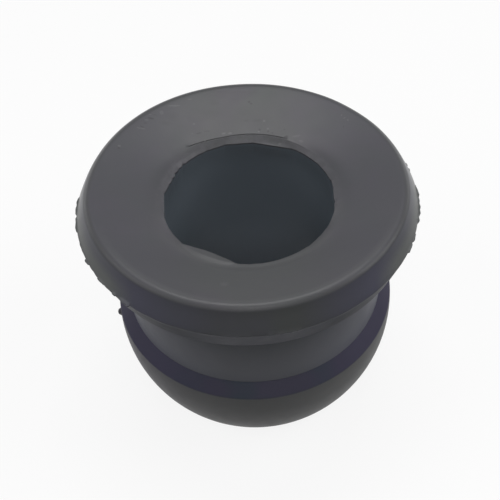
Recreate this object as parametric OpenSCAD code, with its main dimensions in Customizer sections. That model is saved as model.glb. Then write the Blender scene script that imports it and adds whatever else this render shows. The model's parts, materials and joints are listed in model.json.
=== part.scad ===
// Rubber grommet: one moulding with a dished flange, a panel groove and a domed head,
// open from end to end. It stands on the flat end of its head, +Z up through the flange.

/* [Body] */
// Height from the flat end of the head to the crest of the flange
total_h = 24; // [22:0.1:28]
// Bore through the head and the neck
bore_d = 15.6; // [12:0.1:18]
// Opening left by the thin lip at the mouth of the bore
mouth_d = 15.2; // [11:0.1:17.4]

/* [Flange] */
// Widest diameter, at the parting line of the mould
flange_d = 29.7; // [28:0.1:36]
// Depth of the flange, from its crest to its underside
flange_h = 4.4; // [3.6:0.1:5.4]
// Diameter of the crest ring, the highest part of the flange
crest_d = 27.3; // [25:0.1:27.6]
// Radius that rounds the crest
crest_round = 0.3; // [0.2:0.05:0.6]
// Drop from the crest to the parting line
parting_drop = 1.8; // [1.4:0.1:2.2]
// Inward lean of the flange's side below the parting line
tuck = 0.6; // [0.3:0.05:0.8]
// Radius of the flange's lower edge
under_round = 0.7; // [0.4:0.05:0.9]
// Slope of the dished face, down towards the bore
dish_angle = 14; // [10:0.5:17]
// Size of the bevel that leads into the mouth
mouth_bevel = 0.45; // [0.35:0.05:0.7]
// Thickness of the lip at the mouth
lip_h = 0.4; // [0.3:0.05:0.6]

/* [Groove] */
// Diameter at the bottom of the groove that holds the panel
groove_d = 24.8; // [21:0.1:25.5]
// Width of the groove, from the flange to the shoulder
groove_h = 8; // [6.5:0.1:9]
// Radius in the corner under the flange
groove_fillet = 0.4; // [0.2:0.05:0.6]

/* [Head] */
// Widest diameter of the dome
head_d = 27.3; // [26.5:0.1:29]
// Height of the dome's centre above its flat end
dome_h = 8.8; // [7.5:0.1:9.6]
// Depth from the groove down to where the head is widest
crown_h = 2.8; // [2.2:0.1:3.6]
// Slope of the shoulder, down from the groove to its edge
shoulder_slope = 42; // [30:1:48]
// Radius of the shoulder's edge
shoulder_round = 0.25; // [0.15:0.05:0.5]
// Radius round the edge of the flat end
foot_round = 0.6; // [0.3:0.05:0.8]

/* [Moulding] */
// Thickness of the flash that stands on the parting line
flash_h = 0.2; // [0.15:0.05:0.3]
// Furthest reach of the flash beyond the flange
flash_reach = 0.18; // [0.1:0.02:0.3]
// Depth of the flats left where the mouth was trimmed by hand
trim_depth = 0.5; // [0.2:0.05:0.6]
// Width of the pip that a vent in the mould left just below the edge of the shoulder
pip_d = 0.7; // [0.4:0.05:0.9]
// How far the pip stands out of the dome
pip_h = 0.3; // [0.15:0.05:0.4]

/* [Hidden] */
$fn = 160;

flange_r = flange_d / 2;
groove_r = groove_d / 2;
head_r = head_d / 2;
mouth_r = mouth_d / 2;
bore_r = bore_d / 2;

under_z = total_h - flange_h;
shoulder_z = under_z - groove_h;
parting = [flange_r, total_h - parting_drop];

// Where a straight line from p touches the circle (c, r); side is 1 or -1
function touch(p, c, r, side) =
    let (d = c - p, far = norm(d), a = side * asin(r / far), reach = sqrt(far * far - r * r) / far)
    p + reach * [d.x * cos(a) - d.y * sin(a), d.x * sin(a) + d.y * cos(a)];

// Crest of the flange: the dished face runs inwards from it, the drafted side down from it
crest = [crest_d / 2, total_h - crest_round];
dish_top = crest + crest_round * [-sin(dish_angle), cos(dish_angle)];
side_top = touch(parting, crest, crest_round, -1);
// Lower edge of the flange
under = [flange_r - tuck - under_round, under_z + under_round];
side_low = touch(parting, under, under_round, 1);

// Mouth of the bore: bevel from the dished face down to the lip
bevel_r = mouth_r + mouth_bevel;
bevel_z = dish_top.y - (dish_top.x - bevel_r) * tan(dish_angle);
mouth_z = bevel_z - mouth_bevel;
// The face carried on to the axis, so that the bevel and the bore cut it
dish_floor = bevel_z - bevel_r * tan(dish_angle);

// Centres of the dome, which curves in to the flat end, and of the crown, which curves in to the
// shoulder. A straight band parts them where the body is tall; here it has no height
band_h = round(1000 * (shoulder_z - crown_h - dome_h)) / 1000;
dome = [0, dome_h];
crown = dome + [0, band_h];

// Edge of the shoulder: rounded between the sloping shoulder and the crown
down_slope = [cos(shoulder_slope), -sin(shoulder_slope)];
into_slope = [-sin(shoulder_slope), -cos(shoulder_slope)];
slope_start = [groove_r, shoulder_z] + shoulder_round * into_slope - crown;
along = slope_start * down_slope;
edge = crown + slope_start + down_slope
    * (sqrt(along * along - slope_start * slope_start + pow(head_r - shoulder_round, 2)) - along);
edge_top = edge - shoulder_round * into_slope;
edge_low = crown + head_r / norm(edge - crown) * (edge - crown);

// Edge of the flat end: rounded into the dome
foot = [sqrt(pow(head_r - foot_round, 2) - pow(dome_h - foot_round, 2)), foot_round];
foot_top = dome + head_r / norm(foot - dome) * (foot - dome);

// Flash lobes: azimuth, radius of the lobe as a share of the flange's, share of the full reach
flash_lobes = [
    [179, 0.30, 0.9], [189, 0.25, 0.8], [205, 0.12, 0.8], [226, 0.20, 1.0], [334, 0.12, 0.8],
    [351, 0.42, 1.0]
];
// Trimmed flats at the mouth: azimuth, share of the full depth
trim_flats = [[240, 1.0], [90, 0.45], [70, 0.6], [158, 0.3]];
// Azimuth of the pip
pip_azimuth = 189;

module flange_section() {
    polygon([
        [0, under_z], [under.x, under_z], under, side_low, parting, side_top, dish_top,
        [0, dish_floor]
    ]);
    translate(crest) circle(crest_round);
    translate(under) circle(under_round);
}

module neck_section() {
    corner = groove_r + groove_fillet;
    difference() {
        translate([0, shoulder_z - 1]) square([corner, under_z - shoulder_z + 2]);
        translate([corner, under_z - groove_fillet]) circle(groove_fillet);
        translate([groove_r, 0]) square([flange_r, under_z - groove_fillet]);
    }
}

// Curve of the head: one arc, or two with a band between them, or two that meet in a low ridge
module head_curve() {
    if (band_h == 0) {
        translate(dome) circle(head_r);
    } else if (band_h > 0) {
        translate(dome) circle(head_r);
        translate(crown) circle(head_r);
        translate(dome) square([head_r, band_h]);
    } else {
        intersection() {
            translate(dome) circle(head_r);
            translate(crown) circle(head_r);
        }
    }
}

module head_section() {
    intersection() {
        head_curve();
        translate([0, foot_top.y]) square([head_r + 1, edge_low.y - foot_top.y]);
    }
    polygon([[0, 0], [foot.x, 0], foot_top, [0, foot_top.y]]);
    translate(foot) circle(foot_round);
    polygon([[0, edge_low.y], edge_low, edge_top, [groove_r, shoulder_z], [0, shoulder_z]]);
    translate(edge) circle(shoulder_round);
}

// Outline of the flash, seen from above: the flange's edge with thin lobes that stand out of it
module flash_outline() {
    circle(flange_r);
    for (lobe = flash_lobes) {
        lobe_r = lobe[1] * flange_r;
        rotate(lobe[0])
            translate([flange_r - lobe_r + lobe[2] * flash_reach, 0]) circle(lobe_r);
    }
}

// Opening in the lip, seen from above: a circle with a few flats
module mouth_outline() {
    difference() {
        circle(mouth_r);
        for (flat = trim_flats)
            rotate(flat[0])
                translate([mouth_r - flat[1] * trim_depth, -mouth_r]) square(2 * mouth_r);
    }
}

module bore() {
    translate([0, 0, -1]) cylinder(h = mouth_z - lip_h + 1, r = bore_r);
    linear_extrude(total_h) mouth_outline();
    translate([0, 0, mouth_z])
        cylinder(h = mouth_bevel, r1 = mouth_r, r2 = bevel_r);
}

module pip() {
    rotate(pip_azimuth)
        translate([head_r - 1, 0, edge_low.y - 0.7 * pip_d])
            rotate([0, 90, 0]) cylinder(h = 1 + pip_h, d1 = 1.2 * pip_d, d2 = 0.8 * pip_d);
}

module grommet() {
    color([0.13, 0.13, 0.14])
    difference() {
        union() {
            rotate_extrude() {
                flange_section();
                neck_section();
                head_section();
            }
            translate([0, 0, parting.y - flash_h / 2]) linear_extrude(flash_h) flash_outline();
            pip();
        }
        bore();
    }
}

grommet();
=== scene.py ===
"""Rubber grommet: the looks of one moulding that stands on the flat end of its head."""
import json
import math
from types import SimpleNamespace

import bpy
import numpy as np
from mathutils import Matrix, Vector

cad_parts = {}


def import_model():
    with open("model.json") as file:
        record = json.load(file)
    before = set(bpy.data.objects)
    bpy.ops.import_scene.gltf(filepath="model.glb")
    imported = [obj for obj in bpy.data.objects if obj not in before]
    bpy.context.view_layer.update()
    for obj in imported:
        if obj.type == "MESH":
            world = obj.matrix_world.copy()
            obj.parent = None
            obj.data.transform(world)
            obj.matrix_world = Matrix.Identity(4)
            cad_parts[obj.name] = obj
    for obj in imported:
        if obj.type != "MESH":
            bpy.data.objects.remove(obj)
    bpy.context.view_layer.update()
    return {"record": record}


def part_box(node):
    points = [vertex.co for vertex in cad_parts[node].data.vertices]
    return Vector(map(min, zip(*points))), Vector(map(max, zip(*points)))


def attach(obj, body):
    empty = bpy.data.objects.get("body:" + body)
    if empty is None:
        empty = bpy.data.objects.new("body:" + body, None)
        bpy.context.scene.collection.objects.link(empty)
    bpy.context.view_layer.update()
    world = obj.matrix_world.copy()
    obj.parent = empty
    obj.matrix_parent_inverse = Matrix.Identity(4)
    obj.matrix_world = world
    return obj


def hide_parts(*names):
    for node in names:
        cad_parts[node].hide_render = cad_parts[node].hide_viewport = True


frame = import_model()

MM = 0.001
MOUNTS = {mount["name"]: mount for mount in frame["record"]["mounts"]}

# Sizes that the frame gives
TOTAL_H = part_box("grommet")[1].z
BORE_R = MOUNTS["bore"]["dims"]["r_mm"] * MM
GROOVE_R = MOUNTS["panel_groove"]["dims"]["r_mm"] * MM
GROOVE_H = MOUNTS["panel_groove"]["dims"]["length_mm"] * MM
GROOVE_Z = MOUNTS["panel_groove"]["pos_m"][2]

# Sizes of the section that no mount states. The crest is softer, the dish steeper and the flash
# thinner than in the CAD; the others are its sizes
FLANGE_R = 14.85 * MM
CREST_R = 13.35 * MM
CREST_ROUND = 0.7 * MM
PARTING_DROP = 1.8 * MM
TUCK = 0.6 * MM
UNDER_ROUND = 0.7 * MM
DISH_ANGLE = 16.0
MOUTH_R = 7.6 * MM
MOUTH_BEVEL = 0.45 * MM
LIP_H = 0.4 * MM
GROOVE_FILLET = 0.4 * MM
HEAD_R = 13.65 * MM
DOME_H = 8.8 * MM
SHOULDER_SLOPE = 42.0
SHOULDER_ROUND = 0.25 * MM
FOOT_ROUND = 0.6 * MM
FLASH_H = 0.16 * MM
# Height of the slope that leads from the lip out to the bore
LEDGE_DROP = 0.9 * MM

PARTING_Z = TOTAL_H - PARTING_DROP
DISH_SLOPE = math.tan(math.radians(DISH_ANGLE))

# Steps round the axis, and steps along each stretch of the section
TURNS = 720
FLAT_STEPS = 4
FOOT_STEPS = 4
DOME_STEPS = 18
DOME_TOP_STEPS = 10
EDGE_STEPS = 6
SLOPE_STEPS = 4
NECK_STEPS = 8
FILLET_STEPS = 4
UNDER_STEPS = 5
SIDE_LOW_STEPS = 5
SIDE_TOP_STEPS = 6
CREST_STEPS = 10
DISH_STEPS = 17
BEVEL_STEPS = 4
BORE_STEPS = 12
# Stretch of the dome below the shoulder's edge, in degrees, where the pip needs closer points
DOME_TOP_ANGLE = 5.5
# Edges sharper than this many degrees are shaded as edges
SHARP_ANGLE = 38

# How the crest strays from round: towards the rear, then azimuth, half width and reach in mm
REAR = 90
CREST_TO_REAR = 0.25
CREST_DRIFT = [(125, 40, 0.14), (90, 30, 0.06), (42, 15, -0.04), (0, 45, 0.10), (180, 45, 0.12)]
# How much faster the drift fades down the flange's side than across the dish
SIDE_FADE = 2.2
CREST_WANDER = 0.018 * MM
CREST_WANDER_HALF = 1.2 * MM

# How the head strays from round, the heights between which the neck joins in, and how close to
# the bore the skin stays round
HEAD_OVAL = 0.085 * MM
HEAD_SHIFT = 0.06 * MM
HEAD_TOP = 12 * MM
NECK_TOP = 19 * MM
BORE_WALL = 1 * MM

# Pip that a vent in the mould left just below the shoulder's edge
PIP_AZIMUTH = 189.5
PIP_Z = 9.95 * MM
PIP_HALF = 0.36 * MM
PIP_OUT = 0.3 * MM
# Only skin outside this radius rises to the pip
PIP_INNER_R = 13 * MM

# Crease in the dish beside the mouth: it fades in and out, and bends outwards, between azimuths
CREASE_R = 8.08 * MM
CREASE_HALF = 0.08 * MM
CREASE_DEPTH = 0.16 * MM
CREASE_FADE_IN = (60, 66)
CREASE_FADE_OUT = (130, 126)
CREASE_OUT = 0.45 * MM
CREASE_BEND_POWER = 1.5
CREASE_BEND = (104, 128)
CREASE_BEND_END = (140, 130)
CREASE_BEND_R = 9.6 * MM

# Radius where the dish starts its soft curve into the lip. The curve gives way to the bevel at the
# rear, over this many degrees to either side and this much faster than it fades
SOFT_R = 9.3 * MM
BEVEL_HALF_SPAN = 70
BEVEL_GAIN = 1.6
# Where the trimmed lip bulges up, with its half width, both in degrees, its rise as a share of the
# flat's depth, and the shares of that rise at the lip and at the two points before it
BULGE = (240, 45)
BULGE_RISE = 0.5
BULGE_SHARES = (1, 0.7, 0.4)

# Flash on the parting line: from azimuth, to azimuth, reach in mm
FLASH_RUNS = [
    (175, 183.6, 0.16), (184.4, 191.5, 0.15), (191, 204, 0.06), (203.5, 206.5, 0.15),
    (206, 222, 0.05), (212.5, 216.5, 0.12), (220.5, 222.5, 0.10), (223.5, 228.5, 0.15),
    (258, 268, 0.05), (272, 284, 0.06), (329, 333.5, 0.13), (334.2, 338, 0.11),
    (342.5, 361, 0.16), (367.8, 369.2, 0.10), (370.8, 372.4, 0.10), (35, 60, 0.04),
    (110, 135, 0.04),
]
# Reach between the runs, how much it wavers there, and the most that a run has, in mm
FLASH_LEAST = 0.02
FLASH_WAVER = 0.012
FLASH_MOST = 0.24
# Share by which a run's reach strays, how steeply it starts, and its share beside the tip
FLASH_RAGGEDNESS = 0.35
FLASH_STEEPNESS = 5
FLASH_SHARE = 0.9
# Flats that hand trimming left at the mouth: azimuth, depth in mm
MOUTH_FLATS = [
    (240, 0.47), (72, 0.33), (92, 0.20), (158, 0.18), (355, 0.14), (182, 0.14), (112, 0.06),
]
FLAT_HALF_SPAN = 60
# Nicks in the lip: azimuth, half width in degrees, depth in mm
MOUTH_NICKS = [
    (140, 2.0, 0.10), (144.5, 1.3, 0.07), (150, 2.2, 0.12), (155, 1.2, 0.08), (161, 1.8, 0.06),
    (352, 3.0, 0.08), (12, 2.0, 0.05),
]
# How rough the lip is on its flats and how much it waves off them, in mm, and how far the bevel
# follows it in
LIP_ROUGHNESS = 0.012
LIP_WAVES = 0.02
BEVEL_FOLLOWS = 0.5

# Scuffs and specks on the dish: azimuth, radius, length and width in mm, turn of the length
# from +X in degrees, and strength: above 0 pale, below 0 dark
MARKS = [
    (152.5, 12.8, 0.30, 0.25, 0, 1.0), (153.5, 12.7, 0.20, 0.20, 0, -0.8),
    (131, 13.3, 0.30, 0.12, 0, 0.6), (132, 12.9, 0.60, 0.20, -10, -1.0),
    (134, 13.0, 0.40, 0.14, 0, 0.8), (135.5, 12.8, 0.35, 0.14, 0, -0.6),
    (129.5, 13.0, 0.40, 0.14, -10, -0.5), (139.5, 12.8, 0.35, 0.14, -20, 0.7),
    (138, 12.7, 0.40, 0.16, -20, -0.8), (138.5, 12.5, 0.50, 0.14, -10, 0.7),
    (120, 13.0, 1.20, 0.20, 5, 0.6), (112.5, 13.1, 0.50, 0.15, 10, 0.5),
    (126.5, 12.9, 0.40, 0.50, 0, 0.5), (123.5, 12.0, 1.20, 1.10, 0, -0.25),
    (128.5, 11.7, 1.20, 0.70, 0, -0.3), (103, 12.0, 1.00, 0.80, 0, -0.3),
    (117, 10.4, 0.25, 0.25, 0, 0.5), (121, 9.5, 0.25, 0.20, 0, 0.4),
    (117.5, 9.3, 0.55, 0.14, 18, -0.8), (112.5, 9.2, 0.60, 0.14, 5, -0.5),
    (119.5, 8.3, 0.18, 0.20, 0, -0.6), (117, 8.3, 0.20, 0.20, 0, 0.8),
    (103.5, 8.5, 0.45, 0.20, 20, 0.8), (99.5, 8.4, 0.40, 0.18, 5, 0.9),
    (87, 11.7, 0.25, 0.25, 0, -1.0), (86, 11.5, 0.25, 0.22, 0, -0.9),
    (78.5, 9.6, 0.25, 0.25, 0, 0.7), (88.5, 9.6, 0.60, 0.35, 0, -0.35),
    (82.5, 9.6, 1.00, 0.35, 0, -0.35), (80.5, 8.6, 0.22, 0.25, 0, -0.9),
    (81, 8.4, 0.20, 0.20, 0, 0.9), (75, 8.5, 0.22, 0.25, 0, -0.9),
    (75.5, 8.8, 0.22, 0.20, 0, 0.7), (72, 8.4, 0.20, 0.20, 0, -0.8),
    (65.5, 9.0, 0.20, 0.20, 0, -0.6), (62, 8.4, 0.25, 0.22, 0, -0.7),
    (56.5, 8.7, 0.80, 0.25, 0, 0.5), (52, 8.4, 0.45, 0.25, -30, 0.6),
    (65, 7.6, 0.35, 0.20, 0, 1.0), (43, 12.6, 0.26, 0.10, 63, 0.9),
    (41, 12.5, 0.28, 0.09, 21, 0.9), (39, 12.5, 0.22, 0.12, -51, 0.9),
    (38, 11.7, 0.20, 0.12, 78, -0.8), (257, 10.8, 0.70, 0.60, 0, 0.35),
]
# How far a mark's edge strays, in mm
MARK_RAGGEDNESS = 0.12
# Marks fainter than this are soft, and start to fade nearer their middle. The fades are shares of
# half a mark's size
MARK_SOFT_BELOW = 0.45
MARK_FADE_SOFT = 0.2
MARK_FADE_CRISP = 0.7
MARK_FADE_END = 1.2

# Where the rubber's colour and gloss change, in mm. Along the radius:
BORE_EDGE = (7.9, 8.0)
NEAR_LIP_HIGHLIGHT_INNER = (7.55, 7.7)
NEAR_LIP_HIGHLIGHT_OUTER = (8.1, 8.7)
REAR_LIP_LIGHT_OUTER = (8.0, 8.3)
NEAR_SHADE_SPAN = (9, 13.5)
RIM_EDGE = (12.75, 12.9)
CREST_HIGHLIGHT_INNER = (12.6, 13.0)
CREST_HIGHLIGHT_OUTER = (13.2, 13.5)
CREST_SHADE_SPAN = (13.35, 13.6)
# Along the height:
BORE_DEPTH = (6, 12)
SHOULDER_EDGE = (10.42, 10.6)
GROOVE_FLOOR = (11.6, 11.7)
NECK_LIGHT_SPAN = (12, 18.5)
BORE_TOP = (21.85, 21.95)
PARTING = (22.1, 22.3)
FLANK_TOP = (22.7, 23.3)
CREST_BASE = (23.6, 23.8)
# From front (below 0) to rear:
CREST_HIGHLIGHT_NEAR = (-9, -4)
NEAR_SIDE = (-7.5, -4.5)
REAR_LIP_LIGHT_SPAN = (-2, 3)
# From left (below 0) to right:
DOME_LEFT_SHADE_SPAN = (-11, -5)
RIGHT_EDGE = (12.5, 13.8)
# To either side:
FACING = (2.5, 6)
ASIDE = (3, 9)
FAR_ASIDE = (9.5, 11.5)

# Noises in the rubber: how fine each is, and the span in which nearly all of a noise lies
TONE_SCALE = 180
TINT_SCALE = 260
RELIEF_SCALE = 700
GLOSS_SCALE = 900
STREAK_SCALE = 1600
RAGGED_SCALE = 3500
GRAIN_SCALE = 5200
NOISE_SPAN = (0.3, 0.7)
# Spans of the tint's noise over which each tint comes in, and the most of it that shows
PURPLE_SPAN = (0.52, 0.66)
GREEN_SPAN = (0.48, 0.34)
SHOULDER_SPAN = (0.4, 0.6)
FLANK_SPAN = (0.42, 0.58)
TINT_MOST = 0.6
# Span over which streaks come into the painted light on the rear lip, and its least share between them
STREAK_SPAN = (0.42, 0.6)
STREAK_LEAST = 0.35

# Roughness and specular level of the top, the dull parts and the flange's side, and the share of
# the specular level that is left under the flange off the front
ROUGH_TOP = 0.31
ROUGH_DULL = 0.46
ROUGH_WAVER = 0.03
SHEEN_TOP = 0.175
SHEEN_DULL = 0.10
SHEEN_SIDE = 0.27
SHEEN_RIGHT_EDGE = 0.38
SHADED_SHARE = 0.3
# Bump: the grain's share in it, its strength and its height
GRAIN_SHARE = 0.35
BUMP_STRENGTH = 0.35
BUMP_HEIGHT = 0.03 * MM

# Colours of the rubber
SKIN = (0.062, 0.064, 0.068)
SKIN_PALER = (0.070, 0.070, 0.074)
SKIN_PURPLE = (0.070, 0.065, 0.077)
SKIN_GREEN = (0.062, 0.067, 0.067)
SKIN_ASIDE = (0.066, 0.065, 0.078)
# Painted shade over the front of the dish, fullest from the mouth out to 9 mm
NEAR_SHADE_SKIN = (0.055, 0.057, 0.060)
NEAR_SHADE_ASIDE = (0.056, 0.055, 0.065)
# Painted highlight along the front edge of the mouth
NEAR_LIP_HIGHLIGHT = (0.098, 0.100, 0.103)
# Painted light on the rear half of the lip and its bevel, broken into streaks
REAR_LIP_LIGHT = (0.098, 0.096, 0.106)
# Painted highlight along the crest at the front
CREST_HIGHLIGHT = (0.090, 0.091, 0.095)
# Painted shade on the outer round of the crest
CREST_SHADE = (0.056, 0.057, 0.060)
PALE_MARK = (0.110, 0.111, 0.114)
DARK_MARK = (0.038, 0.038, 0.042)
# Painted shade on the neck under the flange, giving way to painted light towards its foot
NECK_SHADED = (0.060, 0.063, 0.070)
NECK_LIT = (0.130, 0.134, 0.149)
NECK_SHADED_ASIDE = (0.070, 0.073, 0.092)
NECK_LIT_ASIDE = (0.152, 0.157, 0.187)
DOME = (0.088, 0.089, 0.090)
# Painted shade on the left of the dome
DOME_LEFT_SHADE = (0.070, 0.068, 0.078)
# Painted shade on the shoulder of the head below the flange
SHOULDER_SHADE_BLUE = (0.034, 0.043, 0.055)
SHOULDER_SHADE_PURPLE = (0.043, 0.041, 0.060)
SHOULDER_SHADE_ASIDE = (0.049, 0.046, 0.074)
# Painted shade on the flange's side, and painted light at its far left and right
FLANK_SHADE = (0.027, 0.029, 0.029)
FLANK_SHADE_BLUER = (0.027, 0.028, 0.032)
FLANK_SHADE_ASIDE = (0.037, 0.037, 0.056)
FLANK_SIDE_LIGHT = (0.074, 0.078, 0.077)
# Painted shade on the flange below the parting line, and painted light on it at the front
UNDERSIDE_SHADE = (0.034, 0.036, 0.045)
UNDERSIDE_LIT_FRONT = (0.050, 0.052, 0.064)
# Painted light inside the bore, paler deeper down
BORE_PAINTED_LIGHT = (0.114, 0.134, 0.155)
BORE_DEEP_PAINTED_LIGHT = (0.145, 0.165, 0.190)
# How much of each colour shows where it is strongest
SKIN_ASIDE_SHARE = 0.55
NECK_ASIDE_SHARE = 0.7
REAR_LIP_LIGHT_SHARE = 0.5
CREST_HIGHLIGHT_SHARE = 0.5
CREST_SHADE_SHARE = 0.7
PALE_MARK_SHARE = 0.8
DARK_MARK_SHARE = 0.75
# Least share of the painted shade along the dish and of the painted light up the flank
NEAR_SHADE_LEAST = 0.15
FAR_ASIDE_LEAST = 0.35

# Floor: how white it looks, and how much light it throws back at the part
FLOOR_HALF = 1.5
FLOOR_WHITE = 0.85
FLOOR_BOUNCE = 0.15

# Lamps round the part: name, azimuth, elevation, width and height in mm, brightness (1 is white),
# and whether the rubber mirrors it
LAMP_AWAY = 400 * MM
LAMPS = [
    ("overhead", 90, 70, 260, 150, 5.5, True),
    ("back_left", 135, 12, 280, 150, 1.3, True),
    ("back_right", 45, 12, 280, 150, 1.2, True),
    ("left", 180, 38, 220, 240, 1.9, True),
    ("right", 0, 38, 220, 240, 3.15, True),
    ("front_high", 270, 68, 160, 120, 2.8, True),
    ("front", 270, 50, 160, 120, 5.9, False),
    ("front_left", 225, 45, 200, 140, 0.9, False),
    ("front_right", 315, 45, 200, 140, 1.0, False),
]

# Camera: from the front and above, close enough for strong perspective
CAMERA_PLACE = Vector((0, -46.46, 67.97)) * MM
CAMERA_AIM = Vector((5.6, 0, 9.06)) * MM
CAMERA_ROLL = -1.33
CAMERA_LENS = 52.75
CAMERA_SENSOR = 36
CAMERA_SHIFT = (-0.121, 0.071)
CAMERA_CLIP = (0.005, 20)


def polar(angle):
    """Unit vector at an angle in degrees."""
    return np.array([math.cos(math.radians(angle)), math.sin(math.radians(angle))])


def heading(vector):
    """Angle of a vector in degrees."""
    return math.degrees(math.atan2(vector[1], vector[0]))


def arc(centre, radius, start, end, steps):
    """Points round a circle from one angle to another, both ends included."""
    return [centre + radius * polar(a) for a in np.linspace(start, end, steps + 1)]


def line(start, end, steps):
    """Points between two ends, without the ends themselves."""
    return [start + (end - start) * t for t in np.linspace(0, 1, steps + 1)[1:-1]]


def touch(point, centre, radius, side):
    """Where a straight line from the point touches the circle; side is 1 or -1."""
    gap = centre - point
    far = math.hypot(*gap)
    turn = math.degrees(math.asin(radius / far)) * side
    return point + math.sqrt(far * far - radius * radius) * polar(heading(gap) + turn)


def ramp(value, start, end):
    """0 at the start and before it, 1 at the end and past it."""
    return np.clip((value - start) / (end - start), 0, 1)


def head_points():
    """Section of the head and the neck, from the flat end up to the fillet under the flange."""
    under_z = GROOVE_Z + GROOVE_H / 2
    foot_of_neck = np.array([GROOVE_R, GROOVE_Z - GROOVE_H / 2])
    fillet = np.array([GROOVE_R + GROOVE_FILLET, under_z - GROOVE_FILLET])

    dome = np.array([0, DOME_H])
    foot = np.array([math.sqrt((HEAD_R - FOOT_ROUND) ** 2 - (DOME_H - FOOT_ROUND) ** 2), FOOT_ROUND])
    down_slope = polar(-SHOULDER_SLOPE)
    start = foot_of_neck + SHOULDER_ROUND * polar(-90 - SHOULDER_SLOPE) - dome
    along = start @ down_slope
    reach = math.sqrt(along ** 2 - start @ start + (HEAD_R - SHOULDER_ROUND) ** 2) - along
    edge = dome + start + reach * down_slope
    edge_angle = heading(edge - dome)
    closer = edge_angle - DOME_TOP_ANGLE

    points = [np.array([BORE_R, 0])]
    points += line(points[-1], np.array([foot[0], 0]), FLAT_STEPS)
    points += arc(foot, FOOT_ROUND, -90, heading(foot - dome), FOOT_STEPS)
    points += arc(dome, HEAD_R, heading(foot - dome), closer, DOME_STEPS)[1:]
    points += arc(dome, HEAD_R, closer, edge_angle, DOME_TOP_STEPS)[1:]
    points += arc(edge, SHOULDER_ROUND, edge_angle, 90 - SHOULDER_SLOPE, EDGE_STEPS)[1:]
    points += line(points[-1], foot_of_neck, SLOPE_STEPS) + [foot_of_neck]
    points += line(foot_of_neck, fillet + GROOVE_FILLET * polar(180), NECK_STEPS)
    return points + arc(fillet, GROOVE_FILLET, 180, 90, FILLET_STEPS)


def section():
    """The moulding's section as (radius, height) points, once round from the end of the bore.

    Also gives the places in it of the flash's tip, the crease's middle, the bevel's outer edge and
    the lip's upper edge.
    """
    parting = np.array([FLANGE_R, PARTING_Z])
    crest = np.array([CREST_R, TOTAL_H - CREST_ROUND])
    under_z = GROOVE_Z + GROOVE_H / 2
    under = np.array([FLANGE_R - TUCK - UNDER_ROUND, under_z + UNDER_ROUND])
    side_top = touch(parting, crest, CREST_ROUND, -1)
    side_low = touch(parting, under, UNDER_ROUND, 1)
    dish_top = crest + CREST_ROUND * polar(90 + DISH_ANGLE)
    bevel_r = MOUTH_R + MOUTH_BEVEL
    bevel = np.array([bevel_r, dish_top[1] - (dish_top[0] - bevel_r) * DISH_SLOPE])
    mouth = bevel - MOUTH_BEVEL
    half_flash = np.array([0, FLASH_H / 2])
    down_dish = np.array([1, DISH_SLOPE])
    crease = bevel + (CREASE_R - bevel_r) * down_dish
    half_crease = CREASE_HALF * down_dish
    lip_low = mouth - np.array([0, LIP_H])
    top_of_bore = np.array([BORE_R, lip_low[1] - LEDGE_DROP])

    points = head_points()
    points += arc(under, UNDER_ROUND, -90, heading(side_low - under), UNDER_STEPS)
    points += line(side_low, parting - half_flash, SIDE_LOW_STEPS)
    points += [parting - half_flash, parting - half_flash / 2]
    flash_at = len(points)
    points += [parting, parting + half_flash / 2, parting + half_flash]
    points += line(parting + half_flash, side_top, SIDE_TOP_STEPS)
    points += arc(crest, CREST_ROUND, heading(side_top - crest), 90 + DISH_ANGLE, CREST_STEPS)
    points += line(dish_top, crease + half_crease, DISH_STEPS) + [crease + half_crease]
    crease_at = len(points)
    points += [crease, crease - half_crease]
    bevel_at = len(points)
    points += [bevel] + line(bevel, mouth, BEVEL_STEPS)
    lip_at = len(points)
    points += [mouth, (mouth + lip_low) / 2, lip_low]
    points += [top_of_bore] + line(top_of_bore, points[0], BORE_STEPS)
    return np.array(points), flash_at, crease_at, bevel_at, lip_at


def ripple(turn, seed, lowest, highest):
    """A smooth uneven value round the axis, about -1 to 1, made of waves between two counts."""
    rng = np.random.default_rng(seed)
    waves = np.arange(lowest, highest + 1)
    phases = rng.uniform(0, 2 * math.pi, len(waves))
    sizes = rng.uniform(0.4, 1.0, len(waves)) / np.sqrt(waves)
    value = (sizes[:, None] * np.cos(waves[:, None] * turn[None, :] + phases[:, None])).sum(0)
    return value / (1.5 * math.sqrt((sizes ** 2).sum()))


def away(turn, azimuth):
    """Degrees from an azimuth, between -180 and 180."""
    return (np.degrees(turn) - azimuth + 180) % 360 - 180


def hump(turn, azimuth, half):
    """1 at an azimuth, falling smoothly to 0 at half its width in degrees."""
    near = np.clip(1 - np.abs(away(turn, azimuth)) / half, 0, 1)
    return near * near * (3 - 2 * near)


def flash_reach(turn):
    """How far the flash stands out at each azimuth."""
    ragged = 1 + FLASH_RAGGEDNESS * ripple(turn, seed=3, lowest=40, highest=150)
    reach = FLASH_LEAST + FLASH_WAVER * ripple(turn, seed=5, lowest=20, highest=90)
    for start, end, high in FLASH_RUNS:
        half = (end - start) / 2
        inside = 1 - np.abs(away(turn, (start + end) / 2)) / half
        reach = np.maximum(reach, high * ragged * np.clip(inside * FLASH_STEEPNESS, 0, 1) ** 0.5)
    return np.clip(reach, 0.0, FLASH_MOST) * MM


def mouth_reach(turn):
    """How far the lip stands into the mouth at each azimuth: the flats, less the nicks."""
    reach = LIP_ROUGHNESS + LIP_WAVES * ripple(turn, seed=11, lowest=12, highest=70)
    ragged = LIP_ROUGHNESS * ripple(turn, seed=13, lowest=12, highest=60)
    mouth = MOUTH_R / MM
    for azimuth, depth in MOUTH_FLATS:
        off = np.clip(np.abs(away(turn, azimuth)), 0, FLAT_HALF_SPAN)
        chord = mouth - (mouth - depth) / np.cos(np.radians(off))
        reach = np.maximum(reach, chord + ragged)
    for azimuth, half, depth in MOUTH_NICKS:
        reach -= depth * np.clip(1 - np.abs(away(turn, azimuth)) / half, 0, 1)
    return reach * MM


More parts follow.
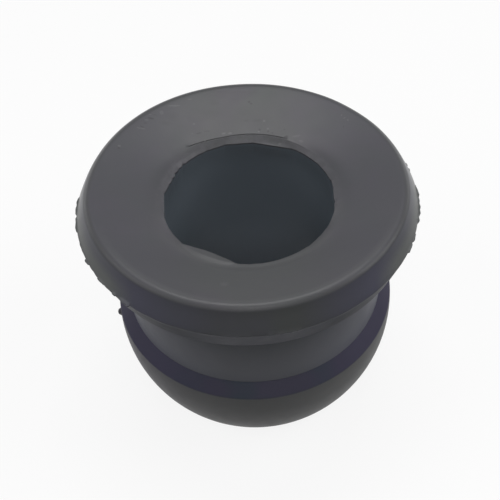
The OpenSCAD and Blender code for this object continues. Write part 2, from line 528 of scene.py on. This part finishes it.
def shape_crest(points, radius, height, turn):
    """The crest drifts in and out round the flange, and its height wanders a little."""
    drift = CREST_TO_REAR * np.sin(turn)
    drift += sum(reach * hump(turn, azimuth, half) for azimuth, half, reach in CREST_DRIFT)
    top = points[:, 1] > PARTING_Z
    inner = (points[:, 0] - MOUTH_R - MOUTH_BEVEL) / (CREST_R - MOUTH_R - MOUTH_BEVEL)
    outer = (FLANGE_R - points[:, 0]) / (FLANGE_R - CREST_R)
    share = np.clip(np.minimum(inner, np.clip(outer * SIDE_FADE, 0, 1)), 0, 1) * top
    radius += share[:, None] * drift[None, :] * MM
    wander = CREST_WANDER * (ripple(turn, seed=21, lowest=2, highest=14) - 1)
    near = np.clip(1 - np.abs(points[:, 0] - CREST_R) / CREST_WANDER_HALF, 0, 1) * top
    height += near[:, None] * np.minimum(wander, 0)[None, :]


def shape_head(points, x, y, radius, turn):
    """The head is slightly oval and off centre, and a pip stands on it."""
    share = ramp(points[:, 1], NECK_TOP, HEAD_TOP) * (points[:, 0] > BORE_R + BORE_WALL)
    stretch = 1 - HEAD_OVAL * share[:, None] * np.cos(2 * turn)[None, :] / radius
    sideways = np.radians(away(turn, PIP_AZIMUTH)) * HEAD_R
    up = points[:, 1] - PIP_Z
    far = np.hypot(sideways[None, :], up[:, None]) / PIP_HALF
    on_dome = (points[:, 0] > PIP_INNER_R) & (points[:, 1] < HEAD_TOP)
    pip = PIP_OUT * np.sqrt(np.clip(1 - far * far, 0, 1)) * on_dome[:, None]
    stretch += pip / radius
    x *= stretch
    y *= stretch
    x += HEAD_SHIFT * share[:, None]


def shape_crease(points, crease_at, radius, height, turn):
    """A thin crease in the dish beside the mouth, which leaves the bevel at its far end."""
    along = np.degrees(turn)
    depth = CREASE_DEPTH * ramp(along, *CREASE_FADE_IN) * ramp(along, *CREASE_FADE_OUT)
    bend = ramp(along, *CREASE_BEND) ** CREASE_BEND_POWER * ramp(along, *CREASE_BEND_END)
    reach = ramp(points[:, 0], CREASE_BEND_R, CREASE_R)
    reach[points[:, 0] < CREASE_R - 1.5 * CREASE_HALF] = 0
    reach *= points[:, 1] > PARTING_Z
    shift = reach[:, None] * CREASE_OUT * bend[None, :]
    radius += shift
    height += shift * DISH_SLOPE
    height[crease_at] -= depth


def soften_mouth(points, bevel_at, lip_at, inward, height, turn):
    """Off the rear, the dish runs into the lip in one soft curve instead of a bevel."""
    soft = np.maximum(1 - BEVEL_GAIN * hump(turn, REAR, BEVEL_HALF_SPAN), 0)
    dish = points[bevel_at, 1] + (points[:, 0] - points[bevel_at, 0]) * DISH_SLOPE
    fall = dish[lip_at] - points[lip_at, 1]
    for i in range(lip_at + 1):
        r, z = points[i]
        if z > PARTING_Z - LIP_H and r < SOFT_R:
            target = dish[i] - fall * ((SOFT_R - r) / (SOFT_R - MOUTH_R)) ** 2
            height[i] += soft * (target - z)
    raised = BULGE_RISE * inward * hump(turn, *BULGE)
    for back, share in enumerate(BULGE_SHARES):
        height[lip_at - back] += share * raised


def moulding():
    """The grommet as one closed mesh, revolved with its flash, trimmed lip and slight warp."""
    points, flash_at, crease_at, bevel_at, lip_at = section()
    turn = np.linspace(0, 2 * math.pi, TURNS, endpoint=False)
    radius = np.repeat(points[:, 0][:, None], TURNS, 1)
    height = np.repeat(points[:, 1][:, None], TURNS, 1)

    reach = flash_reach(turn)
    radius[flash_at] += reach
    radius[flash_at - 1] += FLASH_SHARE * reach
    radius[flash_at + 1] += FLASH_SHARE * reach

    inward = mouth_reach(turn)
    radius[lip_at:lip_at + 3] -= inward
    for step in range(1, BEVEL_STEPS):
        radius[lip_at - step] -= inward * (1 - step / BEVEL_STEPS) * BEVEL_FOLLOWS

    soften_mouth(points, bevel_at, lip_at, inward, height, turn)
    shape_crest(points, radius, height, turn)
    shape_crease(points, crease_at, radius, height, turn)
    x = radius * np.cos(turn)
    y = radius * np.sin(turn)
    shape_head(points, x, y, radius, turn)
    verts = np.stack([x, y, height], -1).reshape(-1, 3)
    faces = []
    for i in range(len(points)):
        a = i * TURNS
        b = (i + 1) % len(points) * TURNS
        faces += [(a + j, a + (j + 1) % TURNS, b + (j + 1) % TURNS, b + j) for j in range(TURNS)]
    mesh = bpy.data.meshes.new("grommet_moulding")
    mesh.from_pydata(verts.tolist(), [], faces)
    mesh.validate()
    mesh.update()
    mesh.shade_smooth()
    mesh.set_sharp_from_angle(angle=math.radians(SHARP_ANGLE))
    piece = bpy.data.objects.new("grommet_moulding", mesh)
    bpy.context.scene.collection.objects.link(piece)
    return piece


class Nodes:
    """Short calls for building a material's nodes."""

    def __init__(self, name):
        self.material = bpy.data.materials.new(name)
        self.material.use_nodes = True
        self.tree = self.material.node_tree
        self.tree.nodes.clear()

    def add(self, kind, inputs=None, **values):
        node = self.tree.nodes.new(kind)
        for name, value in values.items():
            setattr(node, name, value)
        for name, value in (inputs or {}).items():
            if isinstance(value, bpy.types.NodeSocket):
                self.tree.links.new(value, node.inputs[name])
            else:
                node.inputs[name].default_value = value
        return node

    def math(self, operation, a, b=0.0):
        return self.add("ShaderNodeMath", {0: a, 1: b}, operation=operation).outputs[0]

    def times(self, first, *others):
        """Product of two or more values."""
        for other in others:
            first = self.math("MULTIPLY", first, other)
        return first

    def rest(self, value):
        """What is left of 1."""
        return self.math("SUBTRACT", 1.0, value)

    def noise(self, where, scale, detail=2.0, roughness=0.5):
        inputs = {"Vector": where, "Scale": scale, "Detail": detail, "Roughness": roughness}
        return self.add("ShaderNodeTexNoise", inputs).outputs["Fac"]

    def remap(self, value, low, high, to_low=0.0, to_high=1.0):
        inputs = {"Value": value, "From Min": low, "From Max": high, "To Min": to_low, "To Max": to_high}
        return self.add("ShaderNodeMapRange", inputs).outputs["Result"]

    def rise(self, value, span, to_low=0.0, to_high=1.0):
        """From one value to another over a span in mm."""
        return self.remap(value, span[0] * MM, span[1] * MM, to_low, to_high)

    def fall(self, value, span, to_high=0.0):
        """From 1 down over a span in mm."""
        return self.rise(value, span, 1, to_high)

    def mix(self, share, a, b):
        """A colour between two; each may be a fixed one or come from another node."""
        mixed = self.add("ShaderNodeMix", {"Factor": share}, data_type="RGBA")
        for socket, value in ((mixed.inputs[6], a), (mixed.inputs[7], b)):
            if isinstance(value, tuple):
                socket.default_value = (*value, 1)
            else:
                self.tree.links.new(value, socket)
        return mixed.outputs[2]

    def output(self, shader):
        self.add("ShaderNodeOutputMaterial", {"Surface": shader})
        return self.material


def marks(n, across, pale):
    """1 on the pale or the dark marks, with soft ragged edges, and 0 off them."""
    jitter = n.noise(across, RAGGED_SCALE)
    shift = n.add("ShaderNodeVectorMath", {0: jitter, 3: MARK_RAGGEDNESS * MM}, operation="SCALE")
    ragged = n.add("ShaderNodeVectorMath", {0: across, 1: shift.outputs[0]}, operation="ADD").outputs[0]
    total = None
    for azimuth, radius, length, width, turn, strength in MARKS:
        if (strength > 0) != pale:
            continue
        middle = radius * MM * polar(azimuth) + MARK_RAGGEDNESS / 2 * MM
        place = n.add("ShaderNodeMapping", {
            "Vector": ragged, "Location": (*middle, 0), "Rotation": (0, 0, math.radians(turn)),
            "Scale": (length * MM / 2, width * MM / 2, 1),
        }, vector_type="TEXTURE").outputs[0]
        far = n.add("ShaderNodeVectorMath", {0: place}, operation="LENGTH").outputs["Value"]
        fade = MARK_FADE_SOFT if abs(strength) < MARK_SOFT_BELOW else MARK_FADE_CRISP
        one = n.remap(far, fade, MARK_FADE_END, abs(strength), 0)
        total = one if total is None else n.math("MAXIMUM", total, one)
    return total


def zones(n):
    """Masks over the rubber, each 1 on its own part of the skin and 0 off it."""
    where = n.add("ShaderNodeTexCoord").outputs["Object"]
    place = n.add("ShaderNodeSeparateXYZ", {"Vector": where})
    x, y, height = (place.outputs[name] for name in "XYZ")
    sideways = n.math("ABSOLUTE", x)
    flatten = {0: where, 1: (1, 1, 0)}
    across = n.add("ShaderNodeVectorMath", flatten, operation="MULTIPLY").outputs[0]
    radius = n.add("ShaderNodeVectorMath", {0: across}, operation="LENGTH").outputs["Value"]

    inside = n.fall(radius, BORE_EDGE)
    bore = n.times(inside, n.fall(height, BORE_TOP))
    low = n.times(n.rest(inside), n.fall(height, PARTING))
    dull = n.math("MAXIMUM", low, bore)
    top = n.rest(dull)
    groove = n.rise(height, GROOVE_FLOOR)
    rim = n.times(n.rise(radius, RIM_EDGE), groove)
    near = n.times(top, n.fall(y, NEAR_SIDE))
    return SimpleNamespace(
        where=where, across=across, x=x, bore=bore, low=low, dull=dull, top=top, groove=groove, rim=rim,
        side=n.times(rim, n.rise(height, PARTING), n.fall(height, CREST_BASE)),
        shoulder=n.times(n.rise(height, SHOULDER_EDGE), n.rest(groove)),
        # Painted light towards the neck's foot, painted shade above it
        neck_light=n.fall(height, NECK_LIGHT_SPAN),
        deep=n.fall(height, BORE_DEPTH),
        # Painted light on the rear half of the lip and its bevel
        rear_lip_light=n.times(top, n.rise(y, REAR_LIP_LIGHT_SPAN, 0, REAR_LIP_LIGHT_SHARE), n.fall(radius, REAR_LIP_LIGHT_OUTER)),
        # Painted shade over the front of the dish
        near_shade=n.times(near, n.fall(radius, NEAR_SHADE_SPAN, NEAR_SHADE_LEAST)),
        # Painted highlight along the front edge of the mouth
        near_lip_highlight=n.times(near, n.rise(radius, NEAR_LIP_HIGHLIGHT_INNER), n.fall(radius, NEAR_LIP_HIGHLIGHT_OUTER)),
        # Painted highlight along the crest at the front
        ring=n.times(n.rise(radius, CREST_HIGHLIGHT_INNER), n.fall(radius, CREST_HIGHLIGHT_OUTER), n.fall(y, CREST_HIGHLIGHT_NEAR)),
        # Painted shade on the outer round of the crest
        crest_shade=n.times(top, n.rise(radius, CREST_SHADE_SPAN)),
        facing=n.fall(sideways, FACING),
        aside=n.rise(sideways, ASIDE),
        # Painted light at the flange's far sides, fading up towards the crest
        flank_side_light=n.times(n.rise(sideways, FAR_ASIDE), n.fall(height, FLANK_TOP, FAR_ASIDE_LEAST)),
    )


def skin_colour(n, zone, tint):
    """Colour of the dish, the lip and the crest, with painted shade and painted highlights on them."""
    tone = n.remap(n.noise(zone.where, TONE_SCALE, 4), *NOISE_SPAN)
    streaks = n.remap(n.noise(zone.where, STREAK_SCALE, 3), *STREAK_SPAN, STREAK_LEAST, 1)
    skin = n.mix(tone, SKIN, SKIN_PALER)
    skin = n.mix(n.remap(tint, *PURPLE_SPAN, 0, TINT_MOST), skin, SKIN_PURPLE)
    skin = n.mix(n.remap(tint, *GREEN_SPAN, 0, TINT_MOST), skin, SKIN_GREEN)
    skin = n.mix(n.times(zone.aside, SKIN_ASIDE_SHARE), skin, SKIN_ASIDE)
    # Painted shade over the front of the dish
    skin = n.mix(zone.near_shade, skin, n.mix(zone.aside, NEAR_SHADE_SKIN, NEAR_SHADE_ASIDE))
    # Painted highlight along the front edge of the mouth
    skin = n.mix(zone.near_lip_highlight, skin, NEAR_LIP_HIGHLIGHT)
    # Painted light on the rear half of the lip and its bevel, broken into streaks
    skin = n.mix(n.times(zone.rear_lip_light, streaks), skin, REAR_LIP_LIGHT)
    # Painted highlight along the crest at the front
    skin = n.mix(n.times(zone.ring, CREST_HIGHLIGHT_SHARE), skin, CREST_HIGHLIGHT)
    # Painted shade on the outer round of the crest
    skin = n.mix(n.times(zone.crest_shade, CREST_SHADE_SHARE), skin, CREST_SHADE)
    skin = n.mix(n.times(marks(n, zone.across, True), PALE_MARK_SHARE), skin, PALE_MARK)
    return n.mix(n.times(marks(n, zone.across, False), DARK_MARK_SHARE), skin, DARK_MARK)


def body_colour(n, zone, tint):
    """Colour of the head, the neck and the underside of the flange, with painted shade and painted light
    on them.
    """
    # Painted shade under the flange, giving way to painted light towards the foot
    neck = n.mix(zone.neck_light, NECK_SHADED, NECK_LIT)
    neck_aside = n.mix(zone.neck_light, NECK_SHADED_ASIDE, NECK_LIT_ASIDE)
    neck = n.mix(n.times(zone.aside, NECK_ASIDE_SHARE), neck, neck_aside)
    # Painted shade on the left of the dome
    dome = n.mix(n.fall(zone.x, DOME_LEFT_SHADE_SPAN), DOME, DOME_LEFT_SHADE)
    body = n.mix(zone.groove, dome, neck)
    # Painted shade on the shoulder below the flange
    shoulder = n.mix(n.remap(tint, *SHOULDER_SPAN), SHOULDER_SHADE_BLUE, SHOULDER_SHADE_PURPLE)
    shoulder = n.mix(zone.aside, shoulder, SHOULDER_SHADE_ASIDE)
    body = n.mix(zone.shoulder, body, shoulder)
    # Painted shade under the flange, with painted light at the front
    return n.mix(zone.rim, body, n.mix(zone.facing, UNDERSIDE_SHADE, UNDERSIDE_LIT_FRONT))


def flank_colour(n, zone, tint):
    """Colour of the flange's side above the parting line: painted shade, and painted light at the far
    sides.
    """
    flank = n.mix(n.remap(tint, *FLANK_SPAN), FLANK_SHADE, FLANK_SHADE_BLUER)
    # Painted light at the far sides, less of it towards the crest
    flank = n.mix(zone.aside, flank, FLANK_SHADE_ASIDE)
    return n.mix(zone.flank_side_light, flank, FLANK_SIDE_LIGHT)


def gloss(n, zone):
    """Roughness and specular level: the top is glossier, the underside of the flange dull."""
    uneven = n.remap(n.noise(zone.where, GLOSS_SCALE, 4), *NOISE_SPAN, -ROUGH_WAVER, ROUGH_WAVER)
    rough = n.math("ADD", n.remap(zone.dull, 0, 1, ROUGH_TOP, ROUGH_DULL), uneven)
    side = n.times(zone.side, n.rise(zone.x, RIGHT_EDGE, SHEEN_SIDE, SHEEN_RIGHT_EDGE))
    sheen = n.math("MAXIMUM", n.remap(zone.top, 0, 1, SHEEN_DULL, SHEEN_TOP), side)
    under = n.math("SUBTRACT", n.times(zone.rim, zone.low), zone.side)
    shaded = n.times(under, n.rest(zone.facing))
    return rough, n.times(sheen, n.remap(shaded, 0, 1, 1, SHADED_SHARE))


def rubber():
    """Matt black rubber: mottled, with a fine moulded grain, faint marks, painted light and shade."""
    n = Nodes("black_rubber")
    zone = zones(n)
    tint = n.noise(zone.where, TINT_SCALE, roughness=0.4)
    colour = n.mix(zone.dull, skin_colour(n, zone, tint), body_colour(n, zone, tint))
    colour = n.mix(zone.side, colour, flank_colour(n, zone, tint))
    # Painted light inside the bore, paler deeper down
    colour = n.mix(zone.bore, colour, n.mix(zone.deep, BORE_PAINTED_LIGHT, BORE_DEEP_PAINTED_LIGHT))

    grain = n.times(n.noise(zone.where, GRAIN_SCALE, 3, 0.6), GRAIN_SHARE)
    relief = n.math("ADD", grain, n.noise(zone.where, RELIEF_SCALE, 3))
    bump = n.add("ShaderNodeBump", {
        "Strength": BUMP_STRENGTH, "Distance": BUMP_HEIGHT, "Height": relief,
    })
    rough, sheen = gloss(n, zone)
    shader = n.add("ShaderNodeBsdfPrincipled", {
        "Base Color": colour, "Roughness": rough, "Normal": bump.outputs[0],
        "Specular IOR Level": sheen,
    })
    return n.output(shader.outputs[0])


def seen_straight(tree):
    """1 for what the camera sees straight, mirrored or through glass, 0 for light on the part."""
    path = tree.nodes.new("ShaderNodeLightPath")
    seen = path.outputs["Is Camera Ray"]
    for name in ("Is Glossy Ray", "Is Transmission Ray"):
        either = tree.nodes.new("ShaderNodeMath")
        either.operation = "MAXIMUM"
        tree.links.new(seen, either.inputs[0])
        tree.links.new(path.outputs[name], either.inputs[1])
        seen = either.outputs[0]
    return seen


def white_floor():
    """White floor that keeps a soft shadow of the part and throws little light back at it."""
    n = Nodes("white_floor")
    seen = seen_straight(n.tree)
    colour = n.mix(seen, (FLOOR_BOUNCE,) * 3, (FLOOR_WHITE,) * 3)
    diffuse = n.add("ShaderNodeBsdfDiffuse", {"Color": colour})
    glow = n.add("ShaderNodeEmission", {"Color": (1, 1, 1, 1), "Strength": 1.0})
    share = n.times(seen, FLOOR_WHITE)
    both = n.add("ShaderNodeMixShader", {0: share, 1: diffuse.outputs[0], 2: glow.outputs[0]})
    return n.output(both.outputs[0])


def stage():
    """The floor that the part stands on."""
    mesh = bpy.data.meshes.new("floor")
    corners = [(x * FLOOR_HALF, y * FLOOR_HALF, 0) for x, y in ((-1, -1), (1, -1), (1, 1), (-1, 1))]
    mesh.from_pydata(corners, [], [(0, 1, 2, 3)])
    mesh.materials.append(white_floor())
    floor = bpy.data.objects.new("floor", mesh)
    bpy.context.scene.collection.objects.link(floor)


def world():
    """White wherever it is seen; the lamps alone light the part."""
    sky = bpy.data.worlds.new("studio")
    bpy.context.scene.world = sky
    sky.use_nodes = True
    tree = sky.node_tree
    tree.nodes.clear()
    white = tree.nodes.new("ShaderNodeBackground")
    white.inputs["Color"].default_value = (1, 1, 1, 1)
    dark = tree.nodes.new("ShaderNodeBackground")
    dark.inputs["Color"].default_value = (0, 0, 0, 1)
    mix = tree.nodes.new("ShaderNodeMixShader")
    out = tree.nodes.new("ShaderNodeOutputWorld")
    tree.links.new(seen_straight(tree), mix.inputs[0])
    tree.links.new(dark.outputs[0], mix.inputs[1])
    tree.links.new(white.outputs[0], mix.inputs[2])
    tree.links.new(mix.outputs[0], out.inputs[0])


def lamps():
    """Soft rectangular lamps round the part, each turned towards its middle."""
    middle = Vector((0, 0, TOTAL_H / 2))
    for name, azimuth, elevation, wide, high, brightness, mirrored in LAMPS:
        data = bpy.data.lights.new(name, "AREA")
        data.shape = "RECTANGLE"
        data.size = wide * MM
        data.size_y = high * MM
        data.energy = brightness * math.pi * data.size * data.size_y
        lamp = bpy.data.objects.new(name, data)
        across = polar(azimuth) * math.cos(math.radians(elevation))
        lamp.location = middle + LAMP_AWAY * Vector((*across, math.sin(math.radians(elevation))))
        lamp.rotation_euler = (middle - lamp.location).to_track_quat("-Z", "Y").to_euler()
        lamp.visible_glossy = mirrored
        bpy.context.scene.collection.objects.link(lamp)


def camera():
    """The scene's camera, rolled and shifted a little, as such a close view is framed by hand."""
    data = bpy.data.cameras.new("camera")
    data.sensor_width = CAMERA_SENSOR
    data.lens = CAMERA_LENS
    data.shift_x, data.shift_y = CAMERA_SHIFT
    data.clip_start, data.clip_end = CAMERA_CLIP
    view = bpy.data.objects.new("camera", data)
    turn = (CAMERA_AIM - CAMERA_PLACE).to_track_quat("-Z", "Y").to_matrix()
    turn = turn @ Matrix.Rotation(math.radians(-CAMERA_ROLL), 3, "Z")
    view.matrix_world = Matrix.Translation(CAMERA_PLACE) @ turn.to_4x4()
    bpy.context.scene.collection.objects.link(view)
    bpy.context.scene.camera = view


def main():
    """Builds the part, the stage and the view."""
    piece = moulding()
    piece.data.materials.append(rubber())
    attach(piece, "root")
    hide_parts("grommet")
    stage()
    world()
    lamps()
    camera()
    bpy.context.scene.view_settings.view_transform = "Standard"


main()
